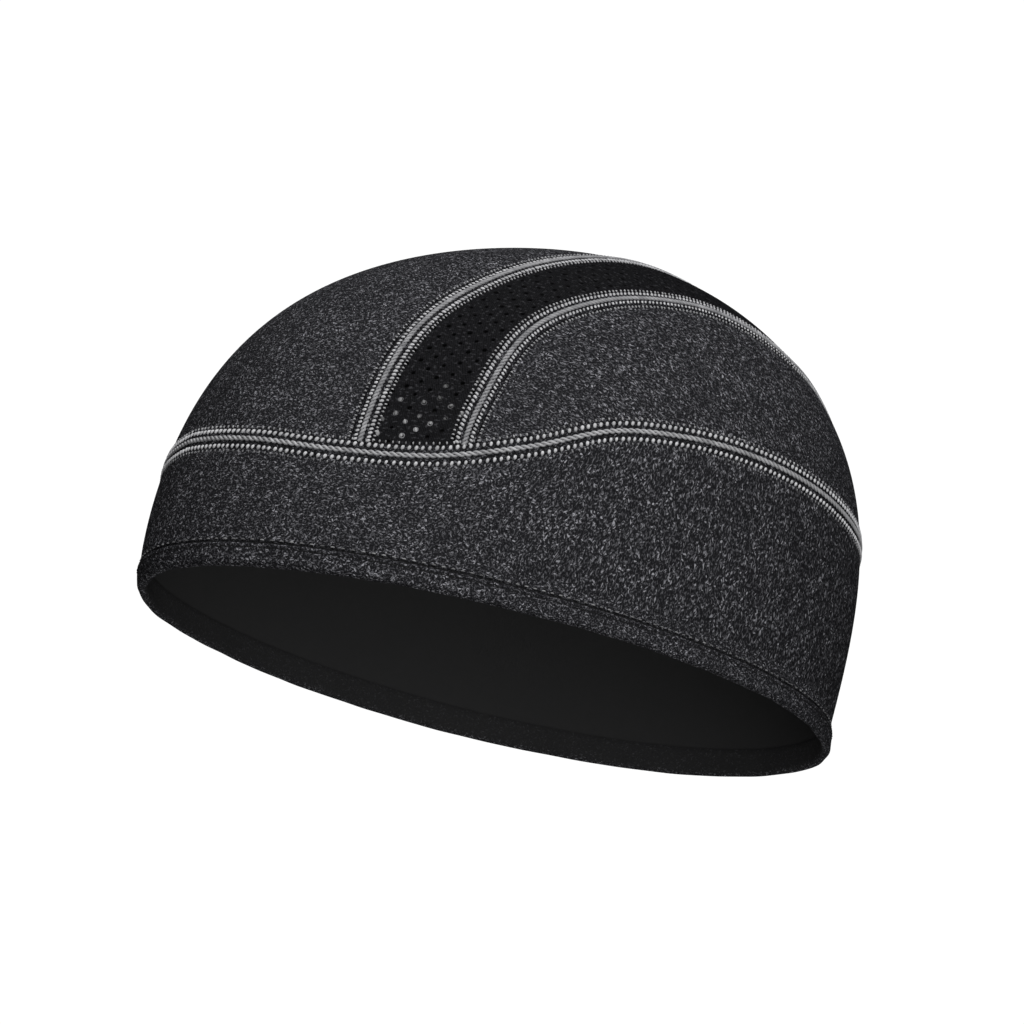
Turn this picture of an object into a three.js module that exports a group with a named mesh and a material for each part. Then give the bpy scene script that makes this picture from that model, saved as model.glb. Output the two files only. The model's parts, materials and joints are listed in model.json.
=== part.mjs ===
// A stretch cycling cap without a peak, as it sits on a head: a band with a folded hem, a crown of
// three jersey panels, two perforated strips between them, and the flatlock seams that join it all.
// Millimetres, +Z up, the forehead towards -Y and the wearer's left towards +X. The origin is where
// the top of the head carries the crown.

import * as THREE from 'three';

// Size of the outer face above the rim, along the head, across it and up from the rim
const halfLength = 97.65;
const halfWidth = 75.69;
const crownHeight = 114.08;

// How full the crown is, at the forehead, the sides and the nape (2 is an ellipse, more is squarer),
// and how late it rounds over on its way up
const crownFullness = { forehead: 1.825, side: 2.569, nape: 1.991 };
const crownRounding = 3.207;

// How far the hem's elastic draws the cloth in at the rim, and the height over which that fades
const rimTuck = { forehead: 3.05, side: 1.62, nape: 0.9 };
const tuckFade = 16;

// How full the rim is seen from above, how much broader it is behind, and how the top leans back
const rimFullness = 2.013;
const napeBreadth = 0.0237;
const crownLean = 11.25;
const leanPower = 1.3;

// The forehead edge is worn higher than the nape edge by this angle
const wornPitch = THREE.MathUtils.degToRad(13);

// Cloth
const jerseyThickness = 1.6;
const meshThickness = 1.4;
const hemHeight = 5.4;
const hemThickness = 2.4;
const hemProud = 0.8;
const hemStep = 0.6;
const hemFlare = { forehead: -0.76, side: 0.87, nape: 0.75 };
const seamGap = 0.4;

// Flatlock seams
const seamWidth = 5.2;
const seamEdge = 0.35;
const seamCrest = 0.75;
const seamSeat = 0.3;
const seamEndClear = 4.2;

// Perforation of the strips: a chequer of cells, every other one pierced
const stripCellsAcross = 4;
const stripCellsAlong = 30;
const holeShare = 0.3;

// How finely each piece is divided
const bandColumns = 80;
const bandRowsAboveHem = 4;
const centreCells = { across: 10, along: 26 };
const sideCells = { across: 8, along: 20 };
const stripSeamSteps = 40;
const bandSeamSteps = 96;
const seatSteps = 400;

// Search ranges: along a ray, and over the crown for a line's foot in front and behind
const rayRange = [5, 160];
const footRange = { front: [8, 80], behind: [170, 100] };
const halvings = 40;
const slopeStep = 0.01;
const directionStep = 0.001;

// Height of the band's upper seam above the rim, at each angle round the head from the forehead
const bandSeam = [
  { around: 0, height: 34.1 },
  { around: 15, height: 32.7 },
  { around: 30, height: 31.2 },
  { around: 45, height: 33.2 },
  { around: 60, height: 40.6 },
  { around: 75, height: 50.8 },
  { around: 90, height: 55.4 },
  { around: 105, height: 57.5 },
  { around: 125, height: 57.9 },
  { around: 150, height: 56.1 },
  { around: 180, height: 55.4 },
];

// Distance of each strip's two seams from the middle line, at each angle over the crown:
// 0 faces the forehead, 90 the top and 180 the nape
const stripSeams = [
  { over: 20, inner: 48.1, outer: 65.5 },
  { over: 35, inner: 46.4, outer: 61.9 },
  { over: 50, inner: 44.1, outer: 60.4 },
  { over: 65, inner: 42.7, outer: 57.7 },
  { over: 80, inner: 38.8, outer: 56.4 },
  { over: 95, inner: 31.2, outer: 54.5 },
  { over: 115, inner: 22.5, outer: 47.2 },
  { over: 125, inner: 18.2, outer: 36.0 },
  { over: 135, inner: 14.3, outer: 27.3 },
  { over: 160, inner: 8.2, outer: 19.3 },
];

const jersey = new THREE.MeshStandardMaterial({ color: 0x36373d, roughness: 0.92, metalness: 0 });
const mesh = new THREE.MeshStandardMaterial({ color: 0x141416, roughness: 0.8, metalness: 0 });
const thread = new THREE.MeshStandardMaterial({ color: 0xb4b4b8, roughness: 0.7, metalness: 0 });

const { cos, sin, abs, exp, hypot, min, max } = Math;
const { degToRad, radToDeg, lerp } = THREE.MathUtils;

// A smooth curve through one column of a table, keyed by another column
function follow(table, key, column, at) {
  let i = table.findIndex((row) => row[key] > at) - 1;
  if (i < 0) i = at <= table[0][key] ? 0 : table.length - 2;
  const slope = (a, b) => (table[b][column] - table[a][column]) / (table[b][key] - table[a][key]);
  const last = table.length - 1;
  const tangent = (k) => slope(max(k - 1, 0), min(k + 1, last));
  const span = table[i + 1][key] - table[i][key];
  const t = (at - table[i][key]) / span;
  const [from, to] = [table[i][column], table[i + 1][column]];
  const rise = span * (tangent(i) * t * (1 - t) ** 2 - tangent(i + 1) * t * t * (1 - t));
  return lerp(from, to, t * t * (3 - 2 * t)) + rise;
}

// A value that drifts round the head; front is 1 at the forehead, 0 at the sides and -1 at the nape
function drift({ forehead, side, nape }, front) {
  return side + ((forehead - nape) / 2) * front + ((forehead + nape) / 2 - side) * front * front;
}

function tuck(front, z) {
  return drift(rimTuck, front) * exp(-z / tuckFade);
}

// Distance from the rim's centre to the rim, for a direction round the head
function rimReach(front, side) {
  const across = (abs(side) / halfWidth) ** rimFullness;
  const along = (abs(front) / halfLength) ** rimFullness;
  return (across + along) ** (-1 / rimFullness) * (1 - napeBreadth * front * side * side);
}

function leanAt(z) {
  return crownLean * (max(z, 0) / crownHeight) ** leanPower;
}

// A point's share of the way out to the outer face: under 1 inside, 1 on it, over 1 outside
function share(point) {
  const z = max(point.z, 0);
  const y = point.y - leanAt(z);
  const far = hypot(point.x, y) + 1e-9;
  const [front, side] = [-y / far, point.x / far];
  const level = ((far + tuck(front, z)) / rimReach(front, side)) ** drift(crownFullness, front);
  return level + (z / crownHeight) ** crownRounding;
}

function outward(point) {
  const slope = (x, y, z) => {
    const shift = new THREE.Vector3(x, y, z).multiplyScalar(slopeStep);
    return share(point.clone().add(shift)) - share(point.clone().sub(shift));
  };
  return new THREE.Vector3(slope(1, 0, 0), slope(0, 1, 0), slope(0, 0, 1)).normalize();
}

// The point a given distance out of the outer face, or inside it when the distance is negative
function raised(point, distance) {
  return point.clone().addScaledVector(outward(point), distance);
}

// Where a ray meets the outer face, found by halving
function meet(pointAt) {
  let [near, far] = rayRange;
  for (let i = 0; i < halvings; i += 1) {
    const middle = (near + far) / 2;
    if (share(pointAt(middle)) < 1) near = middle;
    else far = middle;
  }
  return pointAt((near + far) / 2);
}

function ringPoint(around, z) {
  const [front, side] = [cos(degToRad(around)), sin(degToRad(around))];
  const level = (1 - (z / crownHeight) ** crownRounding) ** (1 / drift(crownFullness, front));
  const reach = rimReach(front, side) * level - tuck(front, z);
  return new THREE.Vector3(reach * side, -reach * front + leanAt(z), z);
}

function crownPoint(over, x) {
  const angle = degToRad(over);
  return meet((reach) => new THREE.Vector3(x, -reach * cos(angle), reach * sin(angle)));
}

function rayPoint(direction) {
  const unit = direction.clone().normalize();
  return meet((reach) => unit.clone().multiplyScalar(reach));
}

function bandSeamHeight(around) {
  return follow(bandSeam, 'around', 'height', abs(around));
}

function aroundOf(point) {
  return radToDeg(Math.atan2(point.x, leanAt(point.z) - point.y));
}

// The angle over the crown at which a line along it stands clear of the band's seam, in front or behind
function footOf(lineX, clear, behind) {
  let [low, high] = behind ? footRange.behind : footRange.front;
  for (let i = 0; i < halvings; i += 1) {
    const middle = (low + high) / 2;
    const point = crownPoint(middle, lineX(middle));
    if (point.z < bandSeamHeight(aroundOf(point)) + clear) low = middle;
    else high = middle;
  }
  return (low + high) / 2;
}

// A closed body from a list of points and a list of flat faces, each given by its corners in order
function body(points, faces) {
  const geometry = new THREE.BufferGeometry();
  const corners = faces.flatMap((face) => face.slice(2).flatMap((corner, i) => [face[0], face[i + 1], corner]));
  geometry.setAttribute('position', new THREE.Float32BufferAttribute(points.flatMap((p) => [p.x, p.y, p.z]), 3));
  geometry.setIndex(corners);
  geometry.computeVertexNormals();
  return geometry;
}

// A sheet of cloth: u runs across and v along, place(u, v) is on its outer face and the inner face
// lies thickness(v) further in. A ring joins its last column to its first. Pierced cells get a hole.
function cloth({ us, vs, place, thickness, ring = false, pierced = () => false }) {
  const points = [];
  const faces = [];
  const columns = us.length;
  const rows = vs.length;
  const put = (u, v) => {
    const outer = place(u, v);
    points.push(outer, raised(outer, -thickness(v)));
    return points.length - 2;
  };
  const corner = us.map((u) => vs.map((v) => put(u, v)));
  // a wall between the outer and the inner face, under the edge from a to b
  const wall = (a, b) => faces.push([b, a, a + 1, b + 1]);
  const skins = (loop) => {
    faces.push(loop);
    faces.push(loop.map((k) => k + 1).reverse());
  };
  const cellsAcross = ring ? columns : columns - 1;
  for (let i = 0; i < cellsAcross; i += 1) {
    const next = (i + 1) % columns;
    for (let j = 0; j < rows - 1; j += 1) {
      const cell = [corner[i][j], corner[next][j], corner[next][j + 1], corner[i][j + 1]];
      if (pierced(i, j)) {
        const middleU = (us[i] + us[next]) / 2;
        const middleV = (vs[j] + vs[j + 1]) / 2;
        const reachU = (us[next] - us[i]) * holeShare;
        const reachV = (vs[j + 1] - vs[j]) * holeShare;
        const hole = [[0, -1], [1, 0], [0, 1], [-1, 0]].map(([a, b]) => put(middleU + a * reachU, middleV + b * reachV));
        cell.forEach((from, k) => {
          const to = cell[(k + 1) % 4];
          const [here, after] = [hole[k], hole[(k + 1) % 4]];
          skins([from, to, here]);
          skins([to, after, here]);
          wall(after, here);
        });
      } else {
        skins(cell);
      }
    }
    wall(corner[i][0], corner[next][0]);
    wall(corner[next][rows - 1], corner[i][rows - 1]);
  }
  if (!ring) {
    for (let j = 0; j < rows - 1; j += 1) {
      wall(corner[0][j + 1], corner[0][j]);
      wall(corner[columns - 1][j], corner[columns - 1][j + 1]);
    }
  }
  return body(points, faces);
}

// A seam's low ridge along a line on the crown; line(t) gives its middle point for t from 0 to 1
function ridge(line, steps, ring = false) {
  const profile = [
    { across: -0.5, up: seamSeat },
    { across: 0.5, up: seamSeat },
    { across: 0.5, up: seamSeat + seamEdge },
    { across: 0, up: seamSeat + seamCrest },
    { across: -0.5, up: seamSeat + seamEdge },
  ];
  const points = [];
  const faces = [];
  const sections = ring ? steps : steps + 1;
  for (let i = 0; i < sections; i += 1) {
    const t = i / steps;
    const middle = line(t);
    const ahead = line(ring ? (t + directionStep) % 1 : min(t + directionStep, 1));
    const behind = line(ring ? (t + 1 - directionStep) % 1 : max(t - directionStep, 0));
    const sideways = new THREE.Vector3().crossVectors(outward(middle), ahead.sub(behind)).normalize();
    profile.forEach(({ across, up }) => {
      const foot = rayPoint(middle.clone().addScaledVector(sideways, across * seamWidth));
      points.push(raised(foot, up));
    });
  }
  const size = profile.length;
  for (let i = 0; i < steps; i += 1) {
    const next = (i + 1) % sections;
    profile.forEach((_, k) => {
      const after = (k + 1) % size;
      faces.push([i * size + k, i * size + after, next * size + after, next * size + k]);
    });
  }
  if (!ring) {
    faces.push(profile.map((_, k) => k).reverse());
    faces.push(profile.map((_, k) => steps * size + k));
  }
  return body(points, faces);
}

function steps(count, from = 0, to = 1) {
  return Array.from({ length: count + 1 }, (_, i) => lerp(from, to, i / count));
}

const cap = new THREE.Group();

function add(name, geometry, material) {
  const piece = new THREE.Mesh(geometry, material);
  piece.name = name;
  cap.add(piece);
}

// The band, from its folded hem up to its seam; the columns run right round the head
function makeBand() {
  const aboveHem = steps(bandRowsAboveHem).map((way) => ({ way, proud: 0, flare: 0 }));
  const rows = [
    { z: 0, proud: hemProud, flare: 1 },
    { z: hemHeight - hemStep, proud: hemProud, flare: 0.2 },
    ...aboveHem,
  ];
  const place = (around, row) => {
    const top = bandSeamHeight(around) - seamGap / 2;
    const { z = lerp(hemHeight, top, rows[row].way), proud, flare } = rows[row];
    return raised(ringPoint(around, z), proud + flare * drift(hemFlare, cos(degToRad(around))));
  };
  return cloth({
    us: steps(bandColumns, -180, 180).slice(0, bandColumns),
    vs: rows.map((_, row) => row),
    place,
    thickness: (row) => (row < 2 ? hemThickness : jerseyThickness),
    ring: true,
  });
}

// A panel that runs over the crown from the band's seam in front to its seam behind, between two lines
function makeOverPanel({ across, along, lineX, thickness, pierced }) {
  const feet = new Map(steps(across).map((u) => [u, [false, true].map((behind) => {
    return footOf((over) => lineX(over, u), seamGap / 2, behind);
  })]));
  const footAt = (u) => {
    if (feet.has(u)) return feet.get(u);
    const low = Math.floor(u * across) / across;
    const high = Math.ceil(u * across) / across;
    return [0, 1].map((end) => lerp(feet.get(low)[end], feet.get(high)[end], (u - low) * across));
  };
  return cloth({
    us: steps(across),
    vs: steps(along),
    place: (u, v) => {
      const over = lerp(...footAt(u), v);
      return crownPoint(over, lineX(over, u));
    },
    thickness: () => thickness,
    pierced,
  });
}

function innerX(over) {
  return follow(stripSeams, 'over', 'inner', over);
}

function outerX(over) {
  return follow(stripSeams, 'over', 'outer', over);
}

// The perforated strip on one side; u runs from the wearer's right to the left, so it mirrors itself
function makeStrip(hand) {
  return makeOverPanel({
    across: stripCellsAcross,
    along: stripCellsAlong,
    lineX: (over, u) => {
      const from = innerX(over) + seamGap / 2;
      const to = outerX(over) - seamGap / 2;
      return hand * lerp(from, to, hand > 0 ? u : 1 - u);
    },
    thickness: meshThickness,
    pierced: (i, j) => (i + j) % 2 === 1,
  });
}

// The jersey panel over one ear, between the strip's outer seam and the band's seam; its two points
// are cut off by a hair so that it ends in a short edge under the seams
function makeSidePanel(hand) {
  const pointCut = 0.015;
  const edgeX = (over) => outerX(over) + seamGap / 2;
  const feet = [false, true].map((behind) => footOf(edgeX, seamGap / 2, behind));
  const corners = feet.map((over) => aroundOf(crownPoint(over, edgeX(over))));
  const place = (u, v) => {
    const down = hand > 0 ? u : 1 - u;
    const over = lerp(...feet, v);
    const top = crownPoint(over, edgeX(over));
    const around = lerp(...corners, v);
    const low = ringPoint(around, bandSeamHeight(around) + seamGap / 2);
    const point = rayPoint(top.lerp(low, down));
    return point.setX(point.x * hand);
  };
  return cloth({
    us: steps(sideCells.across),
    vs: steps(sideCells.along, pointCut, 1 - pointCut),
    place,
    thickness: () => jerseyThickness,
  });
}

// One of a strip's two seams, which stops short of the band's seam at both ends
function makeStripSeam(hand, edgeX) {
  const lineX = (over) => hand * edgeX(over);
  const feet = [false, true].map((behind) => footOf(lineX, seamEndClear, behind));
  return ridge((t) => {
    const over = lerp(...feet, t);
    return crownPoint(over, lineX(over));
  }, stripSeamSteps);
}

add('band', makeBand(), jersey);
add('crown_centre', makeOverPanel({
  ...centreCells,
  lineX: (over, u) => lerp(-1, 1, u) * (innerX(over) - seamGap / 2),
  thickness: jerseyThickness,
}), jersey);

for (const { side, hand } of [{ side: 'left', hand: 1 }, { side: 'right', hand: -1 }]) {
  add(`crown_${side}`, makeSidePanel(hand), jersey);
  add(`mesh_strip_${side}`, makeStrip(hand), mesh);
  add(`seam_inner_${side}`, makeStripSeam(hand, innerX), thread);
  add(`seam_outer_${side}`, makeStripSeam(hand, outerX), thread);
}

add('seam_band', ridge((t) => {
  const around = lerp(-180, 180, t);
  return ringPoint(around, bandSeamHeight(around));
}, bandSeamSteps, true), thread);

// The head's top carries the crown at the highest point of its inner face, once the cap is pitched
cap.rotation.x = -wornPitch;
const seat = steps(seatSteps, 60, 120)
  .map((over) => raised(crownPoint(over, 0), -jerseyThickness).applyEuler(cap.rotation))
  .reduce((best, point) => (point.z > best.z ? point : best));
cap.position.copy(seat).negate();

export default cap;
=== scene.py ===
import json
import math

import bpy
import numpy as np
from mathutils import Quaternion, Vector
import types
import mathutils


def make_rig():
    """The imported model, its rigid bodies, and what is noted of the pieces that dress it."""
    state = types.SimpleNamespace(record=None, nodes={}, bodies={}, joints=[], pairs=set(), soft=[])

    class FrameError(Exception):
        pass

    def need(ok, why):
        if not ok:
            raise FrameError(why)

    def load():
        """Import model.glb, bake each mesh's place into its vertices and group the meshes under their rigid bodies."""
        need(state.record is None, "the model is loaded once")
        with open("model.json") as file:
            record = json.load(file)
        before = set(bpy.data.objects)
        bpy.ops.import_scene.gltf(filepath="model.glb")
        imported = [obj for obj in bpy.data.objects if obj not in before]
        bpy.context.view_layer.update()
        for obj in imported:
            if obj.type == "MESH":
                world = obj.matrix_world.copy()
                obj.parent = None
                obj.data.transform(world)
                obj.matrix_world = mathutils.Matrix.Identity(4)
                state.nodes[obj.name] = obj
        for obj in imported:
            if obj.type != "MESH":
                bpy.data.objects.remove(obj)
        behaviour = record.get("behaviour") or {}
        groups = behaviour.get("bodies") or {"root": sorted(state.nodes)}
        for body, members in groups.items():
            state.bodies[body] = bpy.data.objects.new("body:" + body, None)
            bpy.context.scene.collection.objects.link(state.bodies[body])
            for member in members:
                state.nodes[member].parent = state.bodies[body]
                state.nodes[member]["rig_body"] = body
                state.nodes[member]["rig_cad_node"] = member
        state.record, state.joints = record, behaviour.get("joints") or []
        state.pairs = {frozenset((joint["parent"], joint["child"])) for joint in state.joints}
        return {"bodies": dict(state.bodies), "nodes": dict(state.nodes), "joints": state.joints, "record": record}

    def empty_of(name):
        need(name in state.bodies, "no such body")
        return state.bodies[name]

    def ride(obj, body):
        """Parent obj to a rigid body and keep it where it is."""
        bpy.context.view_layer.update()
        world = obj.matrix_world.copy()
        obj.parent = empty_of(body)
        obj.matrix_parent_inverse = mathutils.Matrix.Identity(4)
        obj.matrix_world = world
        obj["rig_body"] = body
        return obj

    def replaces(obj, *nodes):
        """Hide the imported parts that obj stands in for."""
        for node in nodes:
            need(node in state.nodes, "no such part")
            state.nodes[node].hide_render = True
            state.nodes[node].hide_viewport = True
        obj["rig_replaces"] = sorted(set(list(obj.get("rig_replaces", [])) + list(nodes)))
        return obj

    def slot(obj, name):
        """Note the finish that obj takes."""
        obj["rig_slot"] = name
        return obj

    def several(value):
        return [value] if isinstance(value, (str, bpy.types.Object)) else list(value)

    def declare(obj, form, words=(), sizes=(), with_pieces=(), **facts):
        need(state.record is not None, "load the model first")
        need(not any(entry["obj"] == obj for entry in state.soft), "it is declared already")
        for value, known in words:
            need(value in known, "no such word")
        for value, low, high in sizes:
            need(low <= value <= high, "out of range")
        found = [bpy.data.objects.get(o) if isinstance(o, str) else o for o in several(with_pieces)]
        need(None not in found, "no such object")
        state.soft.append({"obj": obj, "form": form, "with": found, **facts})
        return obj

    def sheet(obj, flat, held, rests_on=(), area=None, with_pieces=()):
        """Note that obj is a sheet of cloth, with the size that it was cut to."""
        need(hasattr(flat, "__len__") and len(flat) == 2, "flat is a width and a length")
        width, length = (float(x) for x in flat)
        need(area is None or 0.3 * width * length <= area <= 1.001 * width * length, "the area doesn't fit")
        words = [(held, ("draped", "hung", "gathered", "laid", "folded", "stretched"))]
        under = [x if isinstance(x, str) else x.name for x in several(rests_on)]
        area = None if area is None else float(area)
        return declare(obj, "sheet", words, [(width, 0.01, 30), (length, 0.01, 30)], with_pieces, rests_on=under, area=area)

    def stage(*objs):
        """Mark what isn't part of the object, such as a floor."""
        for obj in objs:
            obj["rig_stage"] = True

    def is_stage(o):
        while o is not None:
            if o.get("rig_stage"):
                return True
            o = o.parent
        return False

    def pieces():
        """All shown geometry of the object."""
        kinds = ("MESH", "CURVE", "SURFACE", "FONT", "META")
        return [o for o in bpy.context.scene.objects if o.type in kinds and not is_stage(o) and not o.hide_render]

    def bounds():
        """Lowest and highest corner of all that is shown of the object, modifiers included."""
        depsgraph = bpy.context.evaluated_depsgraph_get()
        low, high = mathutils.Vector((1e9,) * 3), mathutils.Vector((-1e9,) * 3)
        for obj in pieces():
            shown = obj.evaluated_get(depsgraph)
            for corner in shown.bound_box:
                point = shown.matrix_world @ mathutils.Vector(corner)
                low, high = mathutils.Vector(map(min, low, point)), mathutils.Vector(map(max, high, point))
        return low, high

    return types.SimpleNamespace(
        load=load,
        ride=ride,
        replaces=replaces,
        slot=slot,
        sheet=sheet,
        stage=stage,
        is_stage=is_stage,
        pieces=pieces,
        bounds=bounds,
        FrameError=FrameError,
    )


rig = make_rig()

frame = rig.load()
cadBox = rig.bounds()
print("frame loaded with", len(frame["nodes"]), "nodes")

# A stretch cycling cap without a peak: a band with a folded hem, three jersey panels, two perforated
# strips and flatlock seams. Shapes are worked out in millimetres in the cap's own frame, rim level and
# forehead towards -Y, and wear() turns them into the row frame in metres.
mm = 0.001
hands = {"left": 1, "right": -1}  # X has this sign on each side of the wearer
rng = np.random.default_rng(11)

cap = {
    "halfLength": 97.65,  # of the outer face above the rim
    "halfWidth": 75.69,
    "height": 114.08,
    "fullness": (1.825, 2.569, 1.991),  # forehead, sides, nape: 2 is an ellipse, more is squarer
    "rounding": 3.207,  # how late it rounds over on its way up
    "tuck": (3.05, 1.62, 0.9),  # how far the elastic draws the rim in
    "tuckFade": 16.0,
    "rimFullness": 2.013,
    "napeBreadth": 0.0237,
    "lean": 11.25,  # how far the top leans back
    "leanPower": 1.3,
    "wornPitch": 13.0,  # degrees, the forehead edge is worn higher
    "seat": (0.0, 10.136, 109.77),  # where the head carries the crown, once pitched
}

cloth = {
    "jersey": 1.6,  # thickness
    "mesh": 1.4,
    "gap": 0.4,  # between two panels, under their seam
    "innerChart": 300,  # mm that the inner face's pattern is moved on
}

# spans that are halved to find a point
search = {
    "reach": (5.0, 160.0),  # mm from the rim's middle, to where a ray meets the dome
    "reachHalvings": 34,
    "front": (8.0, 80.0),  # degrees over the crown, to a seam's foot in front
    "back": (170.0, 100.0),  # and behind
    "footHalvings": 28,
}

# height of the band's upper seam above the rim, at each angle round the head from the forehead
bandSeam = {0: 34.1, 15: 32.7, 30: 31.2, 45: 33.2, 60: 40.6, 75: 50.8, 90: 55.4, 105: 57.5, 125: 57.9,
            150: 56.1, 180: 55.4}

# distance of the strip's seams from the middle line, at each angle over the crown (0 forehead, 90 top)
innerSeam = {20: 48.1, 35: 46.4, 50: 44.1, 65: 42.7, 80: 38.8, 95: 31.2, 115: 22.5,
             125: 18.2, 135: 14.3, 160: 8.2}
outerSeam = {20: 65.5, 35: 61.9, 50: 60.4, 65: 57.7, 80: 56.4, 95: 54.5, 115: 47.2,
             125: 36.0, 135: 27.3, 160: 19.3}


# Camera, at the photograph's angle; it looks up from below the rim
shot = {
    "azimuth": 59.576,
    "elevation": -8.823,
    "roll": -0.25,
    "distance": 1.1,
    "aim": (0.00982, -0.00611, -0.06835),
    "lens": 148.71,
    "sensor": 36,
    "clip": (0.05, 40),
}


def put(name, data):
    # an object in the scene, at the origin
    made = bpy.data.objects.new(name, data)
    bpy.context.scene.collection.objects.link(made)
    return made


def placeCamera():
    # stands back from its aim, at the azimuth and elevation, and rolls about its line of sight
    data = bpy.data.cameras.new("camera")
    data.lens = shot["lens"]
    data.sensor_width = shot["sensor"]
    data.clip_start, data.clip_end = shot["clip"]
    camera = put("camera", data)
    turn, rise = math.radians(shot["azimuth"]), math.radians(shot["elevation"])
    level = math.cos(rise)
    back = Vector((math.sin(turn) * level, -math.cos(turn) * level, math.sin(rise)))
    camera.location = Vector(shot["aim"]) + back * shot["distance"]
    facing = (-back).to_track_quat("-Z", "Y") @ Quaternion((0, 0, 1), math.radians(shot["roll"]))
    camera.rotation_euler = facing.to_euler()
    bpy.context.scene.camera = camera


placeCamera()


# The dome. A point at height z and angle a round the head lies
# rimReach(a) * (1 - (z / height)^rounding)^(1 / n) out from the middle, less the elastic's tuck. n
# drifts from the forehead's to the nape's, and the point leans back with its height.
def follow(table, at):
    # a cubic through the table's rows, each row's slope taken from its two neighbours
    keys, values = np.array(list(table), float), np.array(list(table.values()), float)
    slope = np.empty_like(values)
    slope[1:-1] = (values[2:] - values[:-2]) / (keys[2:] - keys[:-2])
    slope[0] = (values[1] - values[0]) / (keys[1] - keys[0])
    slope[-1] = (values[-1] - values[-2]) / (keys[-1] - keys[-2])
    row = np.clip(np.searchsorted(keys, at, side="right") - 1, 0, len(keys) - 2)
    span = keys[row + 1] - keys[row]
    t = (at - keys[row]) / span
    eased = t * t * (3 - 2 * t)
    rise = span * (slope[row] * t * (1 - t) ** 2 - slope[row + 1] * t * t * (1 - t))
    return values[row] * (1 - eased) + values[row + 1] * eased + rise


def unit(v):
    # each vector over its own length
    return v / (np.linalg.norm(v, axis=-1, keepdims=True) + 1e-12)


def drift(values, front):
    # a parabola through three values; front is 1 at the forehead, 0 at the sides, -1 at the nape
    forehead, side, nape = values
    return side + (forehead - nape) / 2 * front + ((forehead + nape) / 2 - side) * front ** 2


def tuck(front, z):
    # how far the elastic draws the cloth in, fading as e^(-z / tuckFade) above the rim
    return drift(cap["tuck"], front) * np.exp(-z / cap["tuckFade"])


def rimReach(front, side):
    # ((side / halfWidth)^n + (front / halfLength)^n)^(-1 / n), a little broader towards the nape
    n = cap["rimFullness"]
    across, along = np.abs(side) / cap["halfWidth"], np.abs(front) / cap["halfLength"]
    return (across ** n + along ** n) ** (-1 / n) * (1 - cap["napeBreadth"] * front * side ** 2)


def leanAt(z):
    # how far a point leans back: a power of its height
    return cap["lean"] * (np.maximum(z, 0) / cap["height"]) ** cap["leanPower"]


def share(p):
    # ((reach + tuck) / rim's reach)^n + (z / height)^rounding: under 1 inside the dome, 1 on it
    x, y, z = p[..., 0], p[..., 1] - leanAt(p[..., 2]), np.maximum(p[..., 2], 0)
    far = np.hypot(x, y) + 1e-9
    front, side = -y / far, x / far
    level = ((far + tuck(front, z)) / rimReach(front, side)) ** drift(cap["fullness"], front)
    return level + (z / cap["height"]) ** cap["rounding"]


def slopeOf(p):
    # how the share grows along x, y and z, by central differences
    step = 0.02
    shifts = np.eye(3) * step
    return np.stack([(share(p + d) - share(p - d)) / (2 * step) for d in shifts], -1)


def outward(p):
    # the dome's normal, along which the share grows fastest
    return unit(slopeOf(p))


def settle(p):
    # slides a point that is near the dome onto it, along the normal
    for _ in range(2):
        slope = slopeOf(p)
        p = p - slope * ((share(p) - 1) / (slope ** 2).sum(-1))[..., None]
    return p


def meet(pointAt, shape):
    # where rays meet the dome, by halving the span that holds it
    near, far = (np.full(shape, end) for end in search["reach"])
    for _ in range(search["reachHalvings"]):
        middle = (near + far) / 2
        inside = share(pointAt(middle)) < 1
        near, far = np.where(inside, middle, near), np.where(inside, far, middle)
    return pointAt((near + far) / 2)


def ringPoint(around, z):
    # the dome's point at an angle round the head and a height
    around, z = np.broadcast_arrays(np.asarray(around, float), np.asarray(z, float))
    front, side = np.cos(np.radians(around)), np.sin(np.radians(around))
    level = 1 - (np.maximum(z, 0) / cap["height"]) ** cap["rounding"]
    reach = rimReach(front, side) * level ** (1 / drift(cap["fullness"], front)) - tuck(front, z)
    return np.stack([reach * side, -reach * front + leanAt(z), z], -1)


def crownPoint(over, x):
    # the dome's point at a distance x from the middle plane, at an angle over the crown
    over, x = np.broadcast_arrays(np.asarray(over, float), np.asarray(x, float))
    angle = np.radians(over)
    return meet(lambda reach: np.stack([x, -reach * np.cos(angle), reach * np.sin(angle)], -1), x.shape)


def rayPoint(p):
    # where the ray from the rim's middle through p meets the dome
    ray = unit(p)
    return meet(lambda reach: ray * reach[..., None], p.shape[:-1])


def bandTop(around):
    # the band seam's height, the same on both sides of the head
    return follow(bandSeam, np.abs(around))


def aroundAt(p):
    # the angle round the head at which a point lies
    return np.degrees(np.arctan2(p[..., 0], leanAt(p[..., 2]) - p[..., 1]))


def feetOf(lineX, clear, like):
    # the angles over the crown where lines stand clear of the band's seam, in front and behind
    feet = []
    for span in (search["front"], search["back"]):
        low, high = (np.full_like(like, end) for end in span)
        for _ in range(search["footHalvings"]):
            middle = (low + high) / 2
            p = crownPoint(middle, lineX(middle))
            covered = p[..., 2] < bandTop(aroundAt(p)) + clear
            low, high = np.where(covered, middle, low), np.where(covered, high, middle)
        feet.append((low + high) / 2)
    return feet


def wear(p):
    # turned about X by the pitch, moved so that the seat is the origin, and in metres
    turn = math.radians(cap["wornPitch"])
    x, y, z = p[..., 0], p[..., 1], p[..., 2]
    back = y * math.cos(turn) + z * math.sin(turn)
    up = z * math.cos(turn) - y * math.sin(turn)
    return (np.stack([x, back, up], -1) - cap["seat"]) * mm


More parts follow.
